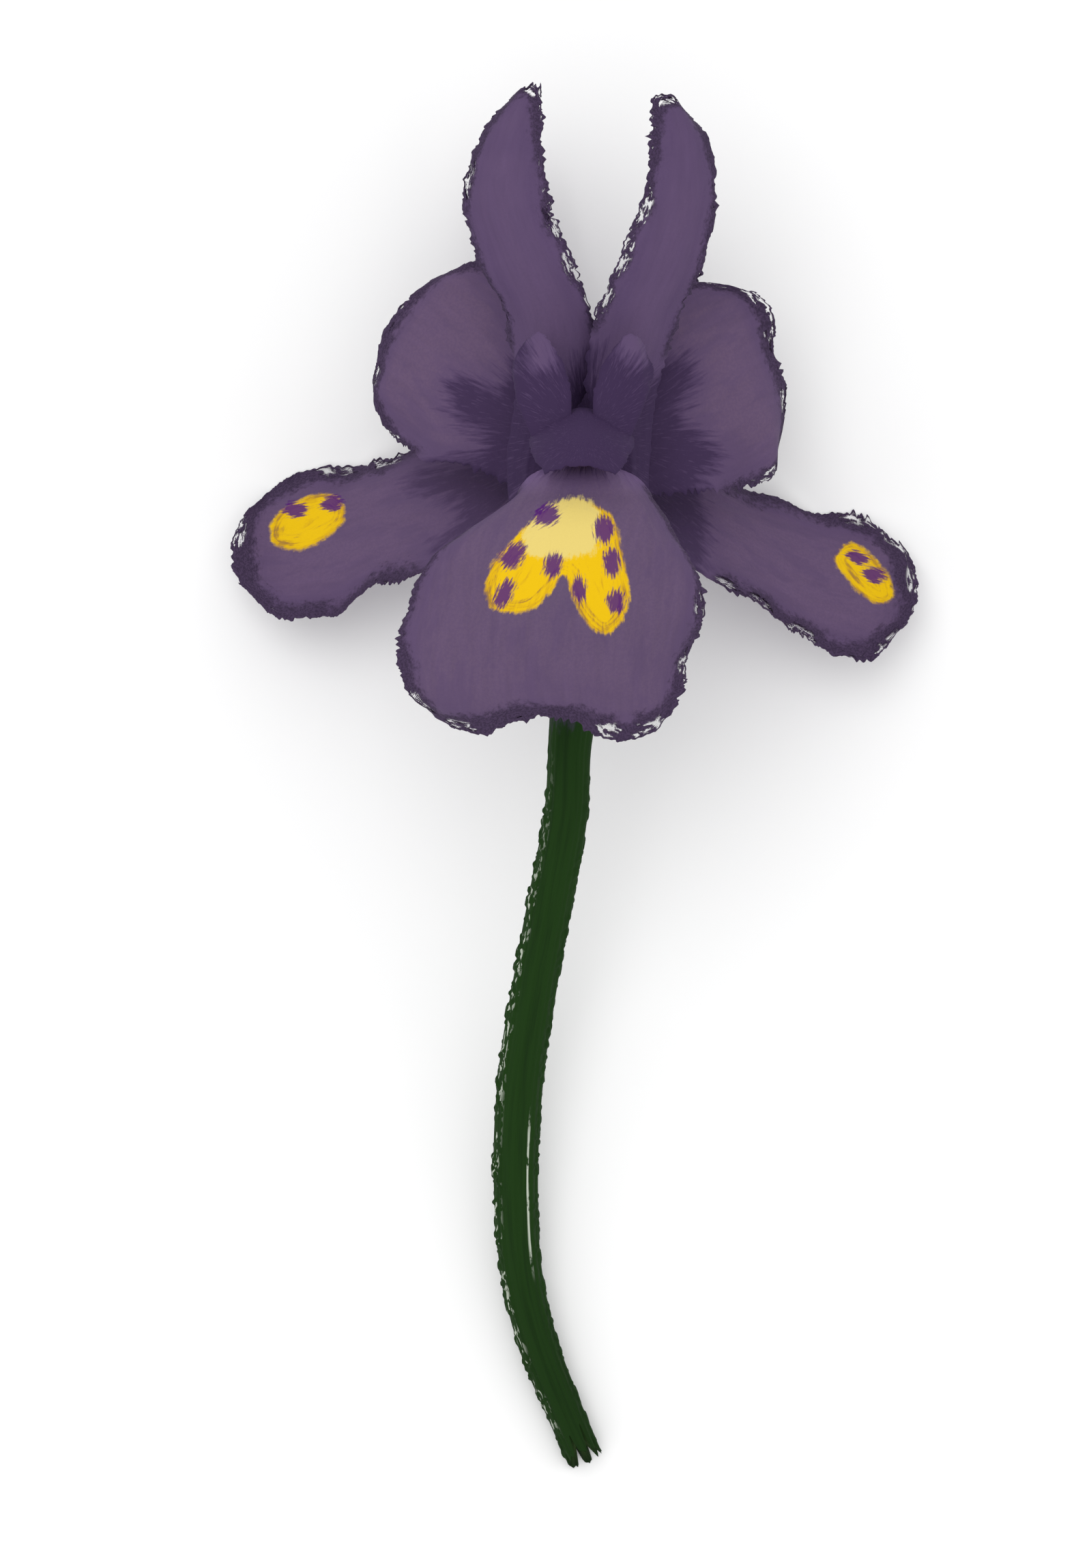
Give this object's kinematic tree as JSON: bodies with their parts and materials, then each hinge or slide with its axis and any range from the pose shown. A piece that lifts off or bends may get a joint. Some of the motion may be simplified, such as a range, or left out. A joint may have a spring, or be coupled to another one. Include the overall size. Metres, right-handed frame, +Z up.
{
  "type": "netted iris flower",
  "caption": "Cut netted iris bloom lying on its back: drooping falls with yellow signal patches, upright standards, rounded style arms, and a curved bare stem.",
  "frame": {"origin": "on the surface that the flower lies on, under the middle of its bounding box", "axes": "+Z up, away from the surface, towards which the open face of the bloom looks; +Y from the cut end of the stem to the tips of the standards; +X to the right, seen from above with the bloom at the top"},
  "size_m": [0.0648, 0.129, 0.0403],
  "materials": {
    "petal": "matte",
    "style": "matte",
    "stem": "satin",
    "stamen": "matte"
  },
  "bodies": {
    "root": {"stem": "stem", "fall_front": "petal", "fall_left": "petal", "fall_right": "petal", "standard_left": "petal", "standard_right": "petal", "standard_rear": "petal", "style_left": "style", "style_right": "style", "style_front": "style", "stamen_front": "stamen", "stamen_left": "stamen", "stamen_right": "stamen"}
  },
  "joints": []
}
